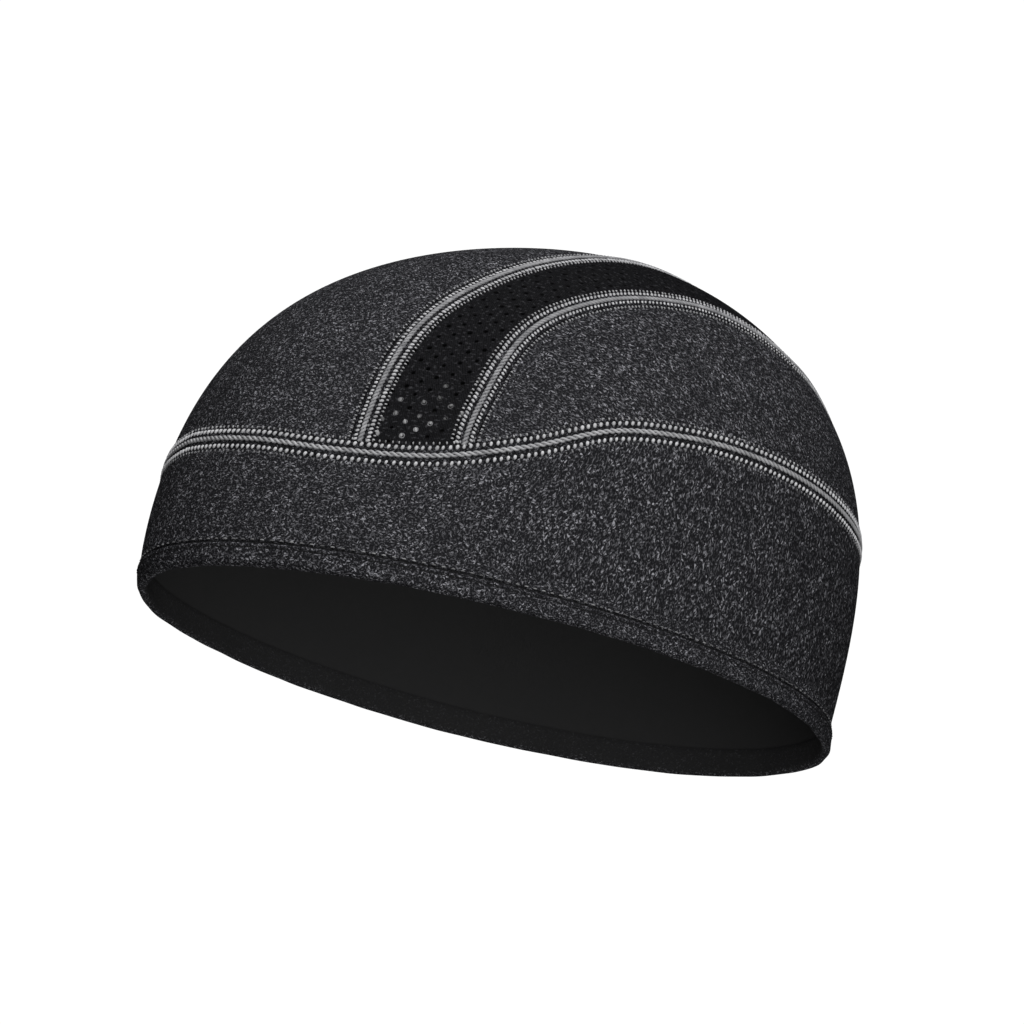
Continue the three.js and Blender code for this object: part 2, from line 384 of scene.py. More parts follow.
# Meshes from arrays
def makePiece(name, node, points, faces, finish, chart=None, marks=None, slot=None):
    # faces: arrays of corner numbers, one array for each number of sides; chart: a UV for each
    # corner in millimetres of cloth; marks: named numbers for each point
    mesh = bpy.data.meshes.new(name)
    corners = np.concatenate([f.ravel() for f in faces]).astype(np.int32)
    sizes = np.concatenate([np.full(len(f), f.shape[1]) for f in faces])
    mesh.vertices.add(len(points))
    mesh.vertices.foreach_set("co", wear(points).astype(np.float32).ravel())
    mesh.loops.add(len(corners))
    mesh.loops.foreach_set("vertex_index", corners)
    mesh.polygons.add(len(sizes))
    mesh.polygons.foreach_set("loop_start", np.r_[0, np.cumsum(sizes)[:-1]].astype(np.int32))
    mesh.polygons.foreach_set("use_smooth", np.ones(len(sizes), bool))
    mesh.materials.append(finish)
    if chart is not None:
        layer = mesh.uv_layers.new(name="weave")
        layer.uv.foreach_set("vector", chart.astype(np.float32).ravel())
    for mark, values in (marks or {}).items():
        layer = mesh.attributes.new(mark, "FLOAT", "POINT")
        layer.data.foreach_set("value", values.astype(np.float32).ravel())
    mesh.update(calc_edges=True)
    mesh.validate()
    piece = put(name, mesh)
    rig.ride(piece, "root")
    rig.replaces(piece, node)
    if slot:
        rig.slot(piece, slot)
    return piece


def cells(columns, rows, ringU=False, ringV=False):
    # corner numbers of a grid's cells, and the same cells numbered in a grid that isn't joined up:
    # corner (i, j) is number i * rows' points + j
    i, j = np.meshgrid(np.arange(columns), np.arange(rows), indexing="ij")
    pointsU, pointsV = columns + (not ringU), rows + (not ringV)
    steps = ((0, 0), (1, 0), (1, 1), (0, 1))
    joined = np.stack([(i + a) % pointsU * pointsV + (j + b) % pointsV for a, b in steps], -1)
    apart = np.stack([(i + a) * (rows + 1) + (j + b) for a, b in steps], -1)
    return joined.reshape(-1, 4), apart.reshape(-1, 4)


def pairs(a, b):
    # every value of a beside every value of b
    return np.stack(np.meshgrid(a, b, indexing="ij"), -1).reshape(-1, 2)


def copied(faces, times, size):
    # the same corner numbers for each copy, whose points come after the last one's
    return (faces[None] + (np.arange(times) * size)[:, None, None]).reshape(-1, faces.shape[1])


def walked(points):
    # the distance from the first point to each, walked along the first axis
    steps = np.linalg.norm(np.diff(points, axis=0), axis=-1)
    return np.concatenate([np.zeros_like(steps[:1]), np.cumsum(steps, 0)])


def chartOf(points, level):
    # distances walked over the cloth: across from column to column, along a chosen column
    across = walked(points)
    along = walked(points[level])
    return np.stack([across - across[level], np.broadcast_to(along, across.shape)], -1)


def shell(points, thickness, level):
    # a sheet: the outer face as given, the inner face further in, and a wall round the edge
    columns, rows = points.shape[0] - 1, points.shape[1] - 1
    inner = points - outward(points) * thickness
    every = np.concatenate([points.reshape(-1, 3), inner.reshape(-1, 3)])
    outerCells, _ = cells(columns, rows)
    count = (columns + 1) * (rows + 1)
    innerCells = outerCells[:, ::-1] + count
    number = np.arange(count).reshape(columns + 1, rows + 1)
    rim = np.concatenate([number[:, 0], number[-1, 1:], number[-2::-1, -1], number[0, -2:0:-1]])
    after = np.roll(rim, -1)
    wall = np.stack([rim, rim + count, after + count, after], -1)
    chart = chartOf(points, level).reshape(-1, 2)
    chart = np.concatenate([chart, chart + cloth["innerChart"]])
    faces = np.concatenate([outerCells, innerCells, wall])
    inside = np.repeat([0.0, 1.0], count)
    return every, faces, chart[faces], inside


def ring(points, normals, radius, sides):
    # round threads along lines, points[thread, step]: each point carries a circle, cos(turn) to
    # the side and sin(turn) up, at right angles to its thread
    forward = unit(np.gradient(points, axis=1))
    side = unit(np.cross(normals, forward))
    top = np.cross(forward, side)
    turn = np.arange(sides) * 2 * math.pi / sides
    radius = np.broadcast_to(radius, points.shape[:2])[..., None, None]
    circle = np.cos(turn)[:, None] * side[:, :, None] + np.sin(turn)[:, None] * top[:, :, None]
    return points[:, :, None] + radius * circle


def threadFaces(threads, steps, sides, start=0):
    # corner numbers of the threads' walls and of their two ends, from number start on
    body, _ = cells(steps - 1, sides, ringV=True)
    size = steps * sides
    ends = np.stack([np.arange(sides)[::-1], np.arange(sides) + size - sides])
    return [copied(faces + start, threads, size) for faces in (body[:, ::-1], ends)]


# Materials: one class wraps a number's socket, and the other holds a material's nodes
def sign(operation, turned=False):
    # what a sign between two numbers makes; turned, it takes the other one first
    def made(self, other):
        return self.look.maths(operation, *((other, self) if turned else (self, other)))

    return made


class Number:
    __add__, __radd__ = sign("ADD"), sign("ADD", True)
    __sub__, __rsub__ = sign("SUBTRACT"), sign("SUBTRACT", True)
    __mul__, __rmul__ = sign("MULTIPLY"), sign("MULTIPLY", True)
    __gt__, __pow__ = sign("GREATER_THAN"), sign("POWER")

    def __init__(self, look, socket):
        self.look = look
        self.socket = socket

    def other(self, name):
        # another output of the same node
        return Number(self.look, self.socket.node.outputs[name])


class Look:
    def __init__(self, name, steady):
        self.material = bpy.data.materials.new(name)
        self.material.use_nodes = True
        self.tree = self.material.node_tree
        self.shader = self.tree.nodes["Principled BSDF"]
        for socket, value in steady.items():
            self.shader.inputs[socket].default_value = value

    def feed(self, socket, value):
        if isinstance(value, Number):
            self.tree.links.new(value.socket, socket)
        else:
            socket.default_value = value

    def node(self, kind, settings, sockets, out=0):
        made = self.tree.nodes.new(kind)
        for name, value in settings.items():
            setattr(made, name, value)
        for name, value in sockets.items():
            self.feed(made.inputs[name], value)
        return Number(self, made.outputs[out])

    def maths(self, operation, a, b):
        return self.node("ShaderNodeMath", {"operation": operation}, {0: a, 1: b})

    def vectors(self, operation, sockets):
        return self.node("ShaderNodeVectorMath", {"operation": operation}, sockets)

    def mixed(self, factor, a, b):
        return self.node("ShaderNodeMix", {"data_type": "RGBA"}, {0: factor, 6: a, 7: b}, 2)

    def mark(self, name):
        return self.node("ShaderNodeAttribute", {"attribute_name": name}, {}, "Fac")

    def weave(self):
        return self.node("ShaderNodeUVMap", {"uv_map": "weave"}, {})

    def noise(self, place, scale, detail=2.0, dimensions="2D", out=0):
        return self.node("ShaderNodeTexNoise", {"noise_dimensions": dimensions},
                         {"Vector": place, "Scale": scale, "Detail": detail}, out)

    def fuzz(self):
        # fine noise in the piece's own space
        coords = self.node("ShaderNodeTexCoord", {}, {}, "Object")
        return self.noise(coords, yarn["fuzz"], 2.0, "3D")

    def voronoi(self, place, randomness=1.0):
        return self.node("ShaderNodeTexVoronoi", {"voronoi_dimensions": "2D"},
                         {"Vector": place, "Scale": 1.0, "Randomness": randomness}, "Distance")

    def laid(self, place, size, turn, moved=(0, 0)):
        # where a place lies in a pattern that is stretched to a size, turned and moved
        return self.node("ShaderNodeMapping", {"vector_type": "TEXTURE"},
                         {"Vector": place, "Location": (*moved, 0), "Rotation": (0, 0, turn),
                          "Scale": (*size, 1)})

    def eased(self, value, low, high):
        settings = {"interpolation_type": "SMOOTHSTEP"}
        return self.node("ShaderNodeMapRange", settings, {"Value": value, 1: low, 2: high, 3: 0.0, 4: 1.0})

    def finish(self, colour, rough, height, depth):
        bump = self.node("ShaderNodeBump", {}, {"Height": height, "Distance": depth})
        self.feed(self.shader.inputs["Base Color"], colour)
        self.feed(self.shader.inputs["Roughness"], rough)
        self.feed(self.shader.inputs["Normal"], bump)
        return self.material


heather = {
    "ground": ((0.0085, 0.0085, 0.0097, 1), (0.027, 0.027, 0.0305, 1)),
    "fibre": (0.47, 0.47, 0.51, 1),
    "lining": (0.058, 0.058, 0.059, 1),  # the inner face
    "stitched": (0.004, 0.004, 0.0045, 1),  # painted shade, for a stitched groove of the hem and for the gaps between a seam's threads
    "length": 1.35,  # mm, of a cell that holds one fleck
    "breadth": 0.43,
    "reach": 0.37,  # the fleck's share of its cell
    "turns": (3, 24, 55, 127, 163),  # degrees, one set of flecks each
    "moved": (3.7, 9.1),  # mm from one set to the next
    "slimness": (0.82, 0.8),  # of a fleck: the least, and what chance adds
    "brightness": (0.16, 0.84, 2.2),  # of a fleck: the least, what chance adds, and its power
    "absent": 0.82,  # share of the cells without a fleck
    "wander": 0.16,  # mm that a fleck bends sideways
    "bends": 0.9,  # to the mm
    "speck": 0.2,  # the brightest of the fine specks between the flecks
    "specks": 2.2,  # to the mm
    "grains": 2.6,
    "patches": 0.12,
    "bump": 0.00007,
}


def heatherLook():
    # each set of flecks is a stretched and turned pattern of cells, some of which hold a fleck
    look = Look("jersey", {"Specular IOR Level": 0.03})
    place = look.weave()
    bend = look.noise(place, heather["bends"], 1.0, out="Color")
    bend = look.vectors("SUBTRACT", {0: bend, 1: (0.5, 0.5, 0.5)})
    bend = look.vectors("SCALE", {0: bend, "Scale": 4 * heather["wander"]})
    bent = look.vectors("ADD", {0: place, 1: bend})
    right, up = heather["moved"]
    size = heather["length"], heather["breadth"]
    slim, slimmer = heather["slimness"]
    least, gain, power = heather["brightness"]
    flecks = None
    for i, turn in enumerate(heather["turns"]):
        distance = look.voronoi(look.laid(bent, size, math.radians(turn), (right * i, up * i)))
        drawn = look.node("ShaderNodeSeparateColor", {}, {"Color": distance.other("Color")}, "Red")
        distance = distance * (slim + slimmer * drawn.other("Blue"))
        shape = 1 - look.eased(distance, 0.5 * heather["reach"], heather["reach"])
        fleck = shape * (drawn > heather["absent"]) * (least + gain * drawn.other("Green") ** power)
        flecks = fleck if flecks is None else look.maths("MAXIMUM", flecks, fleck)
    grain = look.noise(place, heather["grains"], 3.0)
    specks = look.eased(look.noise(place, heather["specks"], 1.0), 0.52, 0.74) * heather["speck"]
    flecks = look.maths("MAXIMUM", flecks, specks)
    patch = look.noise(place, heather["patches"], 2.0)
    inside = look.mark("inside")
    amount = flecks * (0.55 + 0.9 * patch) * (1 - inside)
    ground = look.mixed(look.eased(grain, 0.3, 0.75), *heather["ground"])
    outer = look.mixed(amount, ground, heather["fibre"])
    # painted shade: the dark mark draws the jersey towards the stitched colour in the hem's grooves and on the seams'
    # ridges
    outer = look.mixed(look.mark("dark"), outer, heather["stitched"])
    colour = look.mixed(inside, outer, heather["lining"])
    height = (flecks * 0.7 + grain * 0.5) * (1 - 0.7 * inside)
    return look.finish(colour, 0.9 - 0.1 * flecks, height, heather["bump"])


meshCloth = {
    "dark": (0.005, 0.005, 0.0056, 1),
    "light": (0.0175, 0.0175, 0.0195, 1),
    "paintedGlint": (0.055, 0.055, 0.06, 1),
    "rimDark": (0.0055, 0.0055, 0.006, 1),  # the walls of the holes; rimPale is painted light seen through a hole
    "rimPale": (0.62, 0.62, 0.64, 1),
    "pitch": 0.55,  # mm between its knitted columns
    "turn": 0.3,  # radians, of the columns
    "uneven": 0.35,  # how far its cells stray
}


def meshLook():
    # a cell pattern as the knit, with soft painted glints in its colour, and its own colours on the walls of the holes
    look = Look("mesh", {"Specular IOR Level": 0.04})
    place = look.weave()
    pitch = meshCloth["pitch"]
    knit = look.voronoi(look.laid(place, (pitch, pitch), meshCloth["turn"]), meshCloth["uneven"])
    shade = look.eased(knit + look.noise(place, 0.5) * 0.3, 0.2, 0.8)
    outer = look.mixed(shade, meshCloth["light"], meshCloth["dark"])
    # painted glints: brighter noise patches in the base colour
    outer = look.mixed(look.eased(look.noise(place, 0.9, 3.0), 0.56, 0.78), outer, meshCloth["paintedGlint"])
    # painted light: a hole's wall is pale where light seen through it is painted
    wall = look.mixed(look.mark("pale"), meshCloth["rimDark"], meshCloth["rimPale"])
    colour = look.mixed(look.mark("wall"), outer, wall)
    return look.finish(colour, 0.8 + 0.1 * knit, 1 - knit, 0.00006)


yarn = {
    "seam": ((0.20, 0.20, 0.21, 1), (0.78, 0.78, 0.80, 1)),  # dim and bright
    "tack": ((0.03, 0.03, 0.031, 1), (0.52, 0.52, 0.53, 1)),
    "hem": ((0.004, 0.004, 0.004, 1), (0.011, 0.011, 0.012, 1)),
    "fuzz": 2600.0,  # to the metre
}


def yarnLook(name):
    # from dim to bright by the thread's own paleness, a little uneven
    look = Look(name + "Thread", {"Sheen Weight": 0.1, "Specular IOR Level": 0.35})
    fuzz = look.fuzz()
    colour = look.mixed(look.mark("pale") * (0.82 + 0.36 * fuzz), *yarn[name])
    return look.finish(colour, 0.75 + 0.1 * fuzz, fuzz, 0.00004)


def hemYarnLook():
    # dark thread, uneven by its fuzz alone
    look = Look("hemThread", {"Specular IOR Level": 0.3})
    fuzz = look.fuzz()
    colour = look.mixed(fuzz, *yarn["hem"])
    return look.finish(colour, 0.7 + 0.1 * fuzz, fuzz, 0.00003)


jerseyFinish, meshFinish, hemFinish = heatherLook(), meshLook(), hemYarnLook()
yarnFinish, tackFinish = yarnLook("seam"), yarnLook("tack")
print("materials made")


# The band: a profile that starts inside at the seam, goes down, round the folded hem and up outside
hem = {
    "height": 5.4,  # of the folded ply
    "proud": 0.75,  # how far the fold stands out
    "edge": 0.16,  # mm over which it comes to stand out
    "thickness": 2.5,
    "foldRadius": 1.25,
    "drop": 0.4,  # how far the fold's round reaches below the rim
    "foldPoints": 13,
    "ease": 9.0,  # mm above the rim where the flare ends
    "easePower": 1.6,
    "needle": 1.3,  # between the two rows of stitching
    "groove": 0.7,  # depth of the stitched line
    "grooveWidth": 0.34,
    "dimple": 0.35,  # how far that depth swings with each stitch, as a share
    "second": 0.6,  # the lower line's share of it
    "patchy": (0.2, 2, -0.6, 1.4, 0.35),  # the lower line's least share; waves: turns, phase, size, level
    "puff": (0.22, 0.9, 0.6),  # the cloth stands up just above the line: how far, where and how wide
    "stitch": 2.6,  # length of one stitch
    "girth": 560,  # mm round, for counting the stitches
    "flare": (-0.76, 0.87, 0.75),  # mm at the rim, at the forehead, the sides and the nape
    "ripples": ((0.22, 9, 0.4), (0.14, 23, 1.9), (0.08, 41, 0.2)),  # mm, waves round the head, phase
    "shade": ((0.3, 1.0), (0.2, 0.5)),  # width and darkness of the painted shade along the upper and the lower stitched groove
    "shadeFrom": -0.9,  # mm off the dome; the painted shade lies on the outside only
    "foldLining": (0.65, 5),  # the lining's share where the fold starts, gone after so many points
}
# the turned-up ply's face inside, downwards: height, share of its thickness, and lining's share
ply = ((7.6, 0, 1), (7.1, 0, 1), (6.9, 0.45, 0.85), (6.7, 1, 0.7), (5.5, 1, 0.7), (4.0, 1, 0.7),
       (2.4, 1, 0.7))
bandGrid = {"columns": 620, "inner": 16, "outer": 22, "hem": 34, "mmPerDegree": 1.55}


def wave(around, turns, phase):
    # a sine with so many turns round the head
    return np.sin(np.radians(around) * turns + phase)


def hemLean(around, z):
    # the hem's flare, eased in towards the rim, with a slight waviness
    lean = drift(hem["flare"], np.cos(np.radians(around)))
    ripple = sum(size * wave(around, turns, phase) for size, turns, phase in hem["ripples"])
    return (lean + ripple) * np.clip(1 - z / hem["ease"], 0, 1) ** hem["easePower"]


def twinAt(around):
    # the second row of stitching sinks in more in some stretches than in others
    least, turns, phase, size, level = hem["patchy"]
    return least + (1 - least) * np.clip(wave(around, turns, phase) * size + level, 0, 1)


def bell(distance, width):
    # 1 in the middle, falling off as e^-(distance / width)^2
    return np.exp(-(distance / width) ** 2)


def hemRelief(around, z):
    # outer face above the fold: a proud hem with a soft step at its top, two grooves, a puff above
    proud = hem["proud"] / (1 + np.exp((z - hem["height"]) / hem["edge"]))
    beat = np.cos(np.radians(around) * np.round(hem["girth"] / hem["stitch"]))
    stitched = 1 - hem["dimple"] + hem["dimple"] * beat
    lower = hem["height"] - hem["needle"]
    groove = bell(z - hem["height"], hem["grooveWidth"])
    second = bell(z - lower, hem["grooveWidth"]) * twinAt(around)
    size, above, width = hem["puff"]
    puff = size * bell(z - hem["height"] - above, width)
    return proud + puff - hem["groove"] * stitched * (groove + hem["second"] * second)


# Each panel's cut size, in metres and square metres, before it is stretched over the head
cutSize = {
    "band": {"flat": (0.520, 0.066), "area": 0.0277},
    "centre": {"flat": (0.092, 0.250), "area": 0.0164},
    "side": {"flat": (0.046, 0.196), "area": 0.0058},
    "strip": {"flat": (0.021, 0.216), "area": 0.0040},
}


def stretched(piece, cut, onIt=()):
    # declares a sheet, with the threads that are sewn on it
    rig.sheet(piece, held="stretched", with_pieces=list(onIt), **cutSize[cut])


def bandProfile(around):
    # heights and distances off the dome, from the seam down inside and up again outside: straight
    # to the ply, over its face, half a circle of the fold, and the relief of the outer face
    top = bandTop(around) - cloth["gap"] / 2
    r, low, jersey = hem["foldRadius"], hem["ease"], cloth["jersey"]
    plyZ, plyShare, plyLining = np.array(ply).T
    turn = np.linspace(0, np.pi, hem["foldPoints"])
    start = r - hem["drop"]
    # the fold's bend lies midway between the hem's two faces
    middle = ((hem["proud"] - r) + (hem["proud"] - hem["thickness"] + r)) / 2
    innerZ = low + (top - low) * np.linspace(1, 0, bandGrid["inner"])
    outerZ = low + (top - low) * np.linspace(0, 1, bandGrid["outer"])[1:]
    hemZ = np.linspace(start, low, bandGrid["hem"])[1:]

    def spread(row):
        return np.broadcast_to(row, (len(around), len(row)))

    z = np.concatenate([innerZ, spread(plyZ), spread(start - r * np.sin(turn)), spread(hemZ), outerZ], 1)
    off = np.concatenate([
        np.zeros_like(innerZ) - jersey,
        spread(plyShare * (jersey + hem["proud"] - hem["thickness"]) - jersey),
        spread(middle - hem["thickness"] / 2 * np.cos(turn)),
        hemRelief(around, spread(hemZ)),
        hemRelief(around, outerZ),
    ], 1)
    most, points = hem["foldLining"]
    lining = np.concatenate([np.ones(innerZ.shape[1]), plyLining,
                             np.interp(np.arange(len(turn)), [0, points], [most, 0]),
                             np.zeros(len(hemZ) + outerZ.shape[1])])
    return z, off, lining


def makeBand():
    # the profile at each angle round the head, on the dome's normals
    columns = bandGrid["columns"]
    around = np.linspace(-180, 180, columns + 1)[:, None]
    z, off, lining = bandProfile(around)
    onDome = ringPoint(around, z)
    points = onDome + outward(onDome) * (off + hemLean(around, z))[..., None]
    faces, apart = cells(columns, z.shape[1], ringU=True, ringV=True)
    along = walked(points[columns // 2])
    along = np.r_[along, along[-1] + cloth["jersey"]]
    chart = np.stack(np.broadcast_arrays(around * bandGrid["mmPerDegree"], along), -1).reshape(-1, 2)
    # painted shade in the two stitched grooves; in the lower one it follows how far the groove sinks in
    (width, dark), (lowerWidth, lowerDark) = hem["shade"]
    outside = off > hem["shadeFrom"]
    upper = dark * bell(z - hem["height"], width) * outside
    lower = lowerDark * bell(z - hem["height"] + hem["needle"], lowerWidth) * outside * twinAt(around)
    marks = {"inside": np.broadcast_to(lining, (columns, z.shape[1])),
             "dark": np.maximum(upper, lower)[:-1]}
    return makePiece("band_jersey", "band", points[:-1].reshape(-1, 3), [faces], jerseyFinish,
                     chart[apart], marks, "jersey")


# along a stitch: its ends as shares of the pitch, its points, the thread's sides, and its rise
hemStitch = {"ends": 0.46, "points": 6, "sides": 6, "up": 0.10, "arch": 1.2, "pale": (0.2, 0.8)}
# the hem's threads: a stitch's share that shows, radius, and heights above the fold's top
hemThreads = {
    "hem_stitches": {"shown": 1.0, "radius": 0.13, "up": (0, -hem["needle"]), "finish": hemFinish},
    "hem_tacks": {"shown": 0.40, "radius": 0.16, "up": (0.66,), "finish": tackFinish},
}


def makeHemStitches():
    # dark stitches lying in the two grooves, arched threads that dip in at both ends, and a row of
    # short pale ones along the upper edge: each rises by up - arch * step^2
    pitch = 360 / np.round(hem["girth"] / hem["stitch"])
    at = np.arange(-180, 180, pitch)
    steps = np.linspace(-hemStitch["ends"], hemStitch["ends"], hemStitch["points"])
    sides, arch = hemStitch["sides"], hemStitch["arch"] * steps[None] ** 2
    for name, kind in hemThreads.items():
        rows = []
        for above in kind["up"]:
            around = at[:, None] + pitch * (steps[None] * kind["shown"] + 0.5)
            z = np.full_like(around, hem["height"] + above)
            foot = ringPoint(around, z)
            up = hemRelief(around, z) + hemLean(around, z) + hemStitch["up"] - arch
            rows.append(foot + outward(foot) * up[..., None])
        points = np.concatenate(rows)
        body = ring(points, outward(points), kind["radius"], sides)
        faces = threadFaces(len(points), len(steps), sides)
        pale = np.repeat(rng.uniform(*hemStitch["pale"], len(points)), len(steps) * sides)
        yield makePiece(name, "band", body.reshape(-1, 3), faces, kind["finish"], marks={"pale": pale})


band = makeBand()
hemStitches = list(makeHemStitches())
stretched(band, "band", hemStitches)
print("band and hem made")


# Panels over the crown; u runs from the wearer's right to the left, v from the forehead to the nape
panel = {
    "across": 56,
    "along": 150,
    "sink": 0.25,  # mm that the cloth sinks at a seam
    "sinkWidth": 4.2,
    "inset": 0.004,  # share of a side panel's length, left free at each pointed end
}


def innerX(over):
    # the inner seam's distance from the middle plane
    return follow(innerSeam, over)


def outerX(over):
    # the outer seam's distance from the middle plane
    return follow(outerSeam, over)


def sunk(points):
    # the cloth sinks where it runs into a seam, by e^-(distance / sinkWidth)^4
    across, along = walked(points), walked(points.transpose(1, 0, 2)).T
    away = np.minimum.reduce([across, across[-1:] - across, along, along[:, -1:] - along])
    depth = panel["sink"] * np.exp(-(away / panel["sinkWidth"]) ** 4)
    return points - outward(points) * depth[..., None]


def makePanel(name, node, points, level):
    # a sheet of jersey whose chart is measured along the column at that level
    every, faces, chart, inside = shell(sunk(points), cloth["jersey"], level)
    return makePiece(name, node, every, [faces], jerseyFinish, chart, {"inside": inside}, "jersey")


def makeCentre():
    # lines over the crown, spread between the two inner seams, each one between its two feet
    us = np.linspace(0, 1, panel["across"] + 1)
    vs = np.linspace(0, 1, panel["along"] + 1)

    def lineX(over, u):
        return (2 * u - 1) * (innerX(over) - cloth["gap"] / 2)

    front, back = feetOf(lambda over: lineX(over, us), cloth["gap"] / 2, us)
    over = front[:, None] * (1 - vs) + back[:, None] * vs
    points = crownPoint(over, lineX(over, us[:, None]))
    return makePanel("crown_centre_jersey", "crown_centre", points, panel["across"] // 2)


def makeSide(side, hand):
    # points between the outer seam and the band's, put back onto the dome along their rays
    def edgeX(over):
        return outerX(over) + cloth["gap"] / 2

    feet = np.concatenate(feetOf(edgeX, cloth["gap"] / 2, np.zeros(1)))
    ends = aroundAt(crownPoint(feet, edgeX(feet)))
    v = np.linspace(panel["inset"], 1 - panel["inset"], panel["along"] + 1)
    down = np.linspace(0, 1, panel["across"] + 1)
    down = (down if hand > 0 else 1 - down)[:, None, None]
    over = feet[0] + (feet[1] - feet[0]) * v
    around = ends[0] + (ends[1] - ends[0]) * v
    top = crownPoint(over, edgeX(over))
    low = ringPoint(around, bandTop(around) + cloth["gap"] / 2)
    points = rayPoint(top * (1 - down) + low * down) * [hand, 1, 1]
    return makePanel("crown_" + side + "_jersey", "crown_" + side, points, -1 if hand > 0 else 0)


stretched(makeCentre(), "centre")
for side, hand in hands.items():
    stretched(makeSide(side, hand), "side")
print("jersey panels made")


# The perforated strips: a chequer of cells, every other one with a round hole through it
strip = {
    "across": 8,
    "along": 92,
    "hole": 0.48,  # mm, radius
    "uneven": (0.94, 0.1, 0.7, 1.15),  # the holes' sizes: mean, spread, least and most
    "lip": 0.28,  # mm, how far round the hole the face dips
    "dip": (0.10, 0.12),  # mm, by how much, outside and inside
    "split": 3,  # cells' edges are cut in this many
    "paleHeight": 24.0,  # mm up from the foot over which the painted light seen through the holes fades out
    "clear": 4.2,  # mm up from the foot that they keep free
    "filled": 0.62,  # share of the others that are filled
    "pale": (0.25, 1.0),  # drawn for each filling
    "faintest": 0.12,  # paleness under which a filling is left out
    "atFoot": 1.1,  # paleness at the strip's foot
    "same": (1200, 1000),  # points nearer than this part of a cell and of a mm are one
    "chart": (26, 290),  # mm of cloth across and along
}
# the fillings: flattened pale balls, painted light seen through the holes
tack = {
    "wide": 0.50,  # mm, half sizes
    "tall": 0.80,
    "thick": 0.16,
    "up": 0.06,
    "sides": 10,
    "rings": 4,
    "tilt": 0.35,  # how unevenly they turn
    "stray": (0.16, 0.10),  # mm beside the hole's middle, along the strip and across
    "size": (0.65, 1.25),  # drawn for each
    "swell": (0.62, 0.45),  # of its size: the least, and what its paleness adds
    "stretch": (0.75, 1.2),  # of its height, drawn for each
}


def stripCell():
    # a cell's border, corner by corner, and a circle's points in the same directions from its middle
    edge = np.arange(strip["split"]) / strip["split"]
    border = np.concatenate([np.stack([edge, 0 * edge], -1), np.stack([1 + 0 * edge, edge], -1),
                             np.stack([1 - edge, 1 + 0 * edge], -1), np.stack([0 * edge, 1 - edge], -1)])
    turn = np.arctan2(border[:, 1] - 0.5, border[:, 0] - 0.5)
    return border, np.stack([np.cos(turn), np.sin(turn)], -1)


def makeLightFillings(side, middle, glow):
    # rings of points: wide * sin(polar) * cos(turn), tall * sin(polar) * sin(turn), thick * cos(polar)
    # only holes that carry painted light get a pale filling
    chosen = glow > 0
    at, glow = middle[chosen], glow[chosen]
    normal = outward(at)
    upright = np.array([0.0, 0.0, 1.0]) + rng.normal(0, tack["tilt"], at.shape)
    across = unit(np.cross(upright, normal))
    along = np.cross(normal, across)
    strayAlong, strayAcross = (rng.normal(0, most, (len(at), 1)) for most in tack["stray"])
    at = at + strayAlong * along + strayAcross * across
    polar = np.linspace(0, np.pi, tack["rings"] + 2)[1:-1]
    turn = np.arange(tack["sides"]) * -2 * math.pi / tack["sides"]
    least, gain = tack["swell"]
    size = rng.uniform(*tack["size"], (len(at), 1)) * (least + gain * glow[:, None])
    wide, tall = tack["wide"] * size, tack["tall"] * size * rng.uniform(*tack["stretch"], size.shape)
    rim = np.sin(polar)[None, :, None]
    u = rim * np.cos(turn) * wide[..., None]
    w = rim * np.sin(turn) * tall[..., None]
    up = tack["thick"] * np.cos(polar)[None, :, None] + tack["up"] + 0 * u
    body = at[:, None, None] + across[:, None, None] * u[..., None] + along[:, None, None] * w[..., None]
    body = body + normal[:, None, None] * up[..., None]
    faces = threadFaces(len(at), len(polar), tack["sides"])
    pale = np.repeat(glow, tack["sides"] * len(polar))
    return makePiece("strip_" + side + "_tacks", "mesh_strip_" + side, body.reshape(-1, 3), faces,
                     tackFinish, marks={"pale": pale})


def rowsOf(uv, *others):
    # one row for each point: u, v and the other values
    return np.concatenate([uv.reshape(-1, 2)] + [other.reshape(-1, 1) for other in others], 1)


def piercedCells(corner, cellSize, size, glow):
    # rings of points round each hole: the border, the lip, the hole's wall down to the inner face's
    # lip, and that face's border
    t = cloth["mesh"]
    border, circle = stripCell()
    dipOut, dipIn = strip["dip"]
    # for each ring its path, its height and whether it is the hole's wall
    rings = [(0, 0.0, 0), (1, 0.0, 0), (2, -dipOut, 1), (2, -t + dipIn, 1), (1, -t, 0), (0, -t, 0)]
    hole = circle[None] * (strip["hole"] / cellSize[:, None]) * size
    at = corner[:, None]
    paths = [at + border[None], at + 0.5 + hole * (1 + strip["lip"] / strip["hole"]), at + 0.5 + hole]
    uv = np.stack([paths[k] for k, _, _ in rings], 1) / [strip["across"], strip["along"]]
    _, up, wall = (np.broadcast_to(column[:, None], uv.shape[:3]) for column in np.array(rings).T)
    # the hole's wall carries its hole's painted light
    pale = np.broadcast_to(glow[:, None, None], up.shape)
    quads, _ = cells(len(rings) - 1, len(border), ringV=True)
    faces = copied(quads[:, ::-1], len(corner), len(rings) * len(border))
    return rowsOf(uv, up, wall, pale), faces


def plainCells(corner):
    # two flat grids, an outer and an inner one
    split = strip["split"]
    edge = np.arange(split + 1)
    grid = pairs(edge, edge) / split
    uv = (corner[:, None] + grid[None]) / [strip["across"], strip["along"]]
    uv = np.stack([uv, uv], 1)
    up = np.broadcast_to(np.array([0.0, -cloth["mesh"]])[:, None], uv.shape[:3])
    quads, _ = cells(split, split)
    both = np.concatenate([quads, quads[:, ::-1] + len(grid)])
    return rowsOf(uv, up, 0 * up, 0 * up), copied(both, len(corner), 2 * len(grid))


